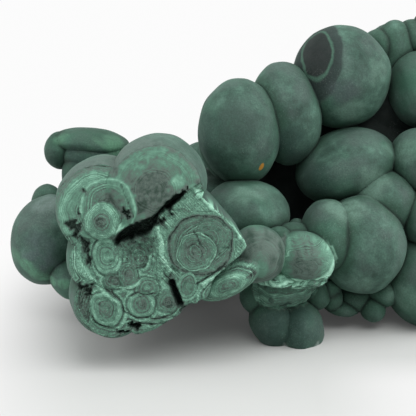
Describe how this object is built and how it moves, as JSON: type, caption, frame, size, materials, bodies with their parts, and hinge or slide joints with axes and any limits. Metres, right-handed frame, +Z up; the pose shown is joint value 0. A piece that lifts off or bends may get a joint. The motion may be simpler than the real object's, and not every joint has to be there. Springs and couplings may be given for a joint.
{
  "type": "malachite specimen",
  "caption": "Botryoidal malachite hand specimen: heaped rounded nodules with a thick stalactitic trunk, broken across to show its concentric bands, and a short worn arm beside it.",
  "frame": {"origin": "centre of the bounding box at the level the stone stands on", "axes": "+Z up, +X along the specimen from the broken trunk to the heaped nodules, -Y the side the trunk's broken end faces"},
  "size_m": [0.156, 0.1016, 0.0849],
  "materials": {
    "malachite": "velvety matt dark green skin, pale banded green where it is broken across"
  },
  "bodies": {
    "root": {"malachite_specimen": "malachite"}
  },
  "joints": []
}
